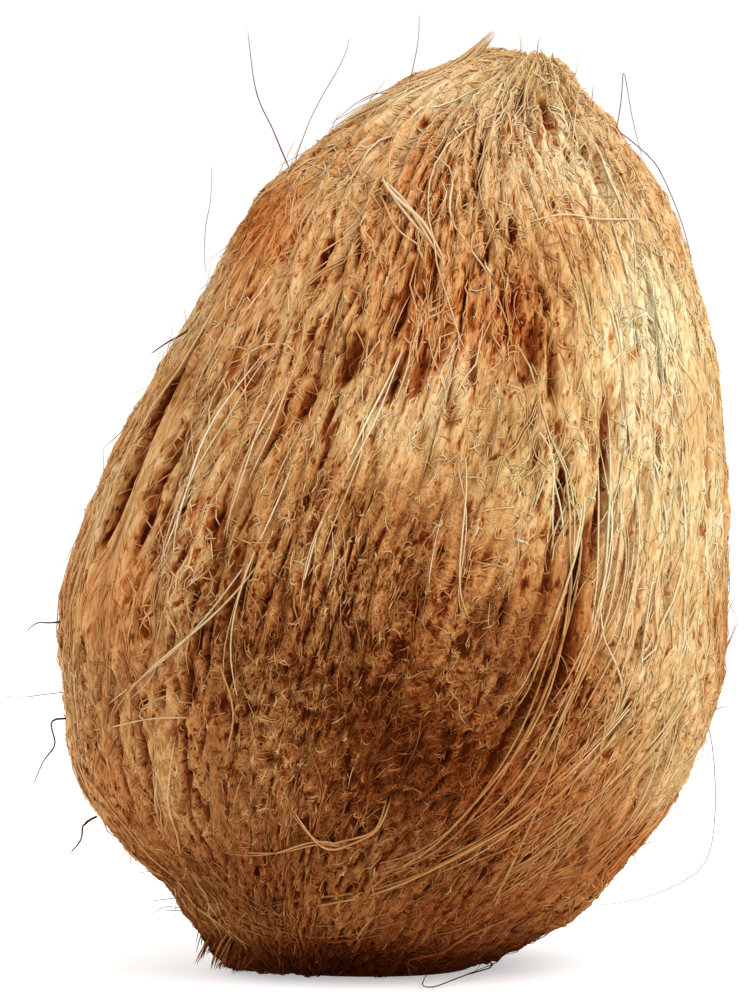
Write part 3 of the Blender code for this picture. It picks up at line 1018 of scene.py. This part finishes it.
# Each hair: its radius and tone, and its places right, back and up in millimetres, root first.
HAIRS = (
    (0.16, 0.18, ((-18, -8, 141), (-21, -8, 148), (-24, -9, 155), (-25.5, -9, 166))),
    (0.11, 0.30, ((-17.5, -6, 142), (-14, -8, 151), (-9, -8, 160), (-7.5, -8, 164.5))),
    (0.11, 0.30, ((2, -6, 153), (3.5, -6, 159), (4.4, -6, 164), (4.6, -6, 168.5))),
    (0.10, 0.34, ((-33, -4, 122), (-33, -5, 130), (-32, -6, 136), (-31.8, -6, 142))),
    (0.30, 0.08, ((-33, -10, 116), (-36, -10, 113), (-39.5, -11, 111), (-42.5, -12, 109))),
    (0.20, 0.12, ((-57, -8, 62), (-60, -8, 61.5), (-62.5, -8, 61.5), (-64.5, -8, 60))),
    (0.11, 0.20, ((-56, -8, 49.5), (-61, -9, 49), (-65, -9, 48.5), (-69, -10, 48.8))),
    (0.26, 0.08, ((-56, -6, 44.5), (-60, -7, 44), (-59.5, -7, 40), (-61.5, -7, 37), (-63.5, -8, 32.5))),
    (0.30, 0.08, ((-52, -4, 27), (-54.5, -5, 25.5), (-55, -5, 23), (-57, -6, 20.5))),
    (0.12, 0.16, ((-34, -10, 12), (-37, -11, 11.5), (-40, -12, 11.8), (-42.5, -12, 10.5))),
    (0.13, 0.20, ((39, -4, 147), (40, -4, 153), (40.5, -4, 158), (42, -4, 150), (44, -4, 142))),
    (0.15, 0.14, ((33, -4, 151), (38.7, -4, 148.3), (44.2, -4, 144), (47.1, -4, 140.3), (50.6, -4, 132),
                  (52.4, -4, 125), (52.2, -4, 120))),
    (0.13, 0.26, ((55, -6, 46), (56.5, -7, 37), (56.6, -7, 26), (54.5, -8, 18.5), (47, -9, 14),
                  (38, -10, 12), (31, -9, 12))),
    (0.13, 0.20, ((3, -4, 153), (-2, -5, 154.5), (-6, -5, 153), (-11, -5, 149))),
    (0.20, -0.10, ((15, -11, 2.8), (17.5, -19, 2.2), (13, -26, 1.6), (9.5, -31, 0.9), (7, -35, 0.5),
                   (5.2, -34, 0.5), (5.3, -27, 0.6), (6.5, -18, 1.6))),
    (0.16, -0.10, ((16, -12, 3.0), (18.4, -17, 2.9), (16, -21, 2.2), (12.6, -26, 1.5))),
)
SPIKE = ((-11, -6, 146.6), (-4, -6, 150.8), (3, -6, 154), (8.5, -5, 156.4), (12, -4, 159),
         (15.2, -3, 162), (18.3, -3, 165.6))
SPIKE_FIBRES = 84
SPIKE_STEPS = 60
NUT_MIDDLE = np.array([0.0, 0.0, 0.07])


def stray_hairs(name, seed, material):
    """The listed hairs, and a torn lock beside the crown.

    The lock's fibres spread round one course, less and less towards its point.
    """
    rng = np.random.default_rng(seed)
    s = np.linspace(0, 1, HAIR_STEPS)[None, :]
    listed = np.stack([smooth_course(stations, HAIR_STEPS) for _, _, stations in HAIRS])
    listed_radius = MM * np.array([girth for girth, _, _ in HAIRS])[:, None] * (1 - 0.6 * s**2)
    listed_tone = np.array([tone for _, tone, _ in HAIRS])[:, None] + 0 * s
    column = (SPIKE_FIBRES, 1)
    first = rng.uniform(0, 0.72, column)
    along = first + (rng.uniform(0.80, 1.0, column) - first) * s
    spike = smooth_course(SPIKE, SPIKE_STEPS)
    share = np.linspace(0, 1, SPIKE_STEPS)
    lock = np.stack([np.interp(along, share, spike[:, axis]) for axis in range(3)], -1)
    lock = lock + rng.normal(0, 0.0010, (SPIKE_FIBRES, 1, 3)) * (1.35 - along[..., None])
    lock_radius = rng.uniform(0.00010, 0.00024, column) * (1 - 0.5 * s**2)
    lock_tone = rng.normal(0.66, 0.09, column) + 0 * s
    place = np.concatenate([listed, lock])
    radius = np.concatenate([listed_radius, lock_radius])
    tone = np.concatenate([listed_tone, lock_tone])
    tubes(name, place, place - NUT_MIDDLE, radius, tone, 0.3 + 0 * tone, material)


def short_hairs(name, seed, count, steps, material):
    """Short hairs round the whole nut.

    Each starts under the surface and leaves along the lie, bending away by a power of its length.
    """
    rng = np.random.default_rng(seed)
    s = np.linspace(0, 1, steps)[None, :]
    root, latitude = scatter(rng, count, lambda place: 1 + 0 * place[..., 0])
    column = (len(root), 1)
    reach = rng.uniform(0.004, 0.014, column)
    bend = rng.uniform(0.0010, 0.0045, column)
    lat = np.clip(latitude[:, None] + rng.choice((-1, 1), column) * reach * s / 0.095, -0.98, 0.985)
    sideways = rng.normal(0, 0.004, column) * s + 0.0006 * np.sin(5 * s + rng.uniform(0, PHASES, column))
    angle = lie(moved(root[:, None], lat, sideways, 0.01), lat)
    place = husk_point(angle, lat, -0.0020 + bend * s**1.8 + 0.0010 * s)
    radius = rng.uniform(0.00009, 0.00017, column) * (1 - 0.6 * s**2)
    tone = tan_tone(place) + rng.normal(0.00, 0.16, column)
    tubes(name, place, place - NUT_MIDDLE, radius, tone, 0.3 + 0 * tone, material)


stray_hair = make_fibre_material("stray_hair", 0.6)
stray_hairs("stray_hairs", 81, stray_hair)
short_hairs("short_hairs", 82, 520, 8, stray_hair)

# ==== THE FRINGE AT THE BASE ====
# Broken ends of coarse fibre that stick out where the nut was pressed on its blunt end: short
# tufts, thickest on the left, rooted in the felt and just clear of the floor. They are dark with
# the painted shade under the nut.

FRINGE_STEPS = 9


def base_fringe(name, seed, tufts, members, material):
    """Tufts of short fibres round the base, outwards and down to just over the floor.

    A third of them hang from the left-hand side, a little higher. A tuft's members start within
    a millimetre of one place on the lower husk and draw together towards a point; each falls by
    a power of its length.
    """
    rng = np.random.default_rng(seed)
    tuft, column = (tufts, 1), (tufts * members, 1)
    s = np.linspace(0, 1, FRINGE_STEPS)[None, :]
    left = np.arange(tufts)[:, None] < tufts // 3
    share = np.where(left, rng.uniform(-3.05, -2.45, tuft), rng.uniform(-HALF_TURN, HALF_TURN, tuft))
    low = np.where(left, rng.uniform(-0.78, -0.68, tuft), rng.uniform(-0.93, -0.78, tuft))
    turn = share + rng.normal(0, 0.3, tuft)
    length = np.where(left, rng.uniform(0.0030, 0.0060, tuft), rng.uniform(0.0010, 0.0040, tuft))
    angle, lat, heading, reach = shared(members, share, low, turn, length)
    angle = angle + rng.normal(0, 0.045, column)
    start = husk_point(angle, lat + rng.normal(0, 0.016, column), -0.0012)
    reach = reach * rng.uniform(0.3, 1.1, column)
    heading = heading + rng.normal(0, 0.5, column) * s
    fall = np.minimum(start[..., 2] - 0.0004, reach * rng.uniform(0.9, 2.2, column))
    place = np.stack([start[..., 0] + reach * s * np.cos(heading),
                      start[..., 1] + reach * s * np.sin(heading),
                      start[..., 2] - fall * s**1.4], -1)
    draw = place.reshape(tufts, members, FRINGE_STEPS, 3)
    draw = draw + (draw.mean(axis=1, keepdims=True) - draw) * 0.5 * s[..., None]
    place = draw.reshape(-1, FRINGE_STEPS, 3)
    radius = rng.uniform(0.00012, 0.00030, column) * (1 - 0.7 * s**2)
    # Painted shade: the tone takes the coat's darkening towards the floor.
    tone = tan_tone(place) + rng.normal(0.08, 0.12, column) + 0 * s
    tubes(name, place, place - NUT_MIDDLE, radius, tone, 0.5 + 0 * tone, material)


base_fringe("base_fringe", 91, 44, 7, long_strand)

# ==== THE PALE FLOOR, THE LIGHT AND THE CAMERA ====
# A plain near-white studio sweep, a large soft key light from the upper right and a weaker one
# behind the left-hand side. None of it is part of the nut.

FLOOR_HALF = 3.0
floor_mesh = bpy.data.meshes.new("floor")
floor_corners = [(x * FLOOR_HALF, y * FLOOR_HALF, 0) for x, y in ((-1, -1), (1, -1), (1, 1), (-1, 1))]
floor_mesh.from_pydata(floor_corners, [], [(0, 1, 2, 3)])
floor = bpy.data.objects.new("floor", floor_mesh)
bpy.context.scene.collection.objects.link(floor)
floor_paint = bpy.data.materials.new("white_sweep")
floor_paint.use_nodes = True
floor_shader = floor_paint.node_tree.nodes["Principled BSDF"]
for name, value in (("Base Color", (0.72, 0.72, 0.72, 1.0)), ("Roughness", 0.9),
                    ("Emission Color", (1.0, 1.0, 1.0, 1.0)), ("Emission Strength", 0.42)):
    floor_shader.inputs[name].default_value = value
floor_mesh.materials.append(floor_paint)

world = bpy.data.worlds.new("studio")
world.use_nodes = True
background = world.node_tree.nodes["Background"]
background.inputs["Color"].default_value = (1.0, 1.0, 1.0, 1.0)
background.inputs["Strength"].default_value = 1.02
bpy.context.scene.world = world


def soft_light(name, place, aim, side, power, colour):
    """A square area light at a place, turned to face a point."""
    data = bpy.data.lights.new(name, "AREA")
    data.shape = "SQUARE"
    data.size = side
    data.energy = power
    data.color = colour
    light = bpy.data.objects.new(name, data)
    light.location = place
    light.rotation_euler = (Vector(aim) - Vector(place)).to_track_quat("-Z", "Y").to_euler()
    bpy.context.scene.collection.objects.link(light)


NUT_AIM = (0.0, 0.0, 0.080)
soft_light("key_light", (0.55, -0.55, 0.75), NUT_AIM, 0.75, 9.6, (1.0, 0.97, 0.92))
soft_light("rim_light", (-0.60, 0.30, 0.25), NUT_AIM, 0.50, 2.4, (1.0, 1.0, 1.0))

CAMERA_ELEVATION = math.radians(4.0)
CAMERA_DISTANCE = 1.60
VIEW_HEIGHT = 0.1765       # the height that the picture takes in at the nut
SENSOR_HEIGHT = 36.0
camera_data = bpy.data.cameras.new("camera")
camera_data.sensor_fit = "VERTICAL"
camera_data.sensor_height = SENSOR_HEIGHT
camera_data.lens = SENSOR_HEIGHT * CAMERA_DISTANCE / VIEW_HEIGHT
camera = bpy.data.objects.new("camera", camera_data)
view_aim = Vector((-0.0037, 0.0, 0.0826))
camera.location = view_aim + CAMERA_DISTANCE * Vector((0, -math.cos(CAMERA_ELEVATION),
                                                      math.sin(CAMERA_ELEVATION)))
camera.rotation_euler = (view_aim - camera.location).to_track_quat("-Z", "Y").to_euler()
bpy.context.scene.collection.objects.link(camera)
bpy.context.scene.camera = camera
bpy.context.scene.view_settings.view_transform = "Standard"

bpy.context.view_layer.update()
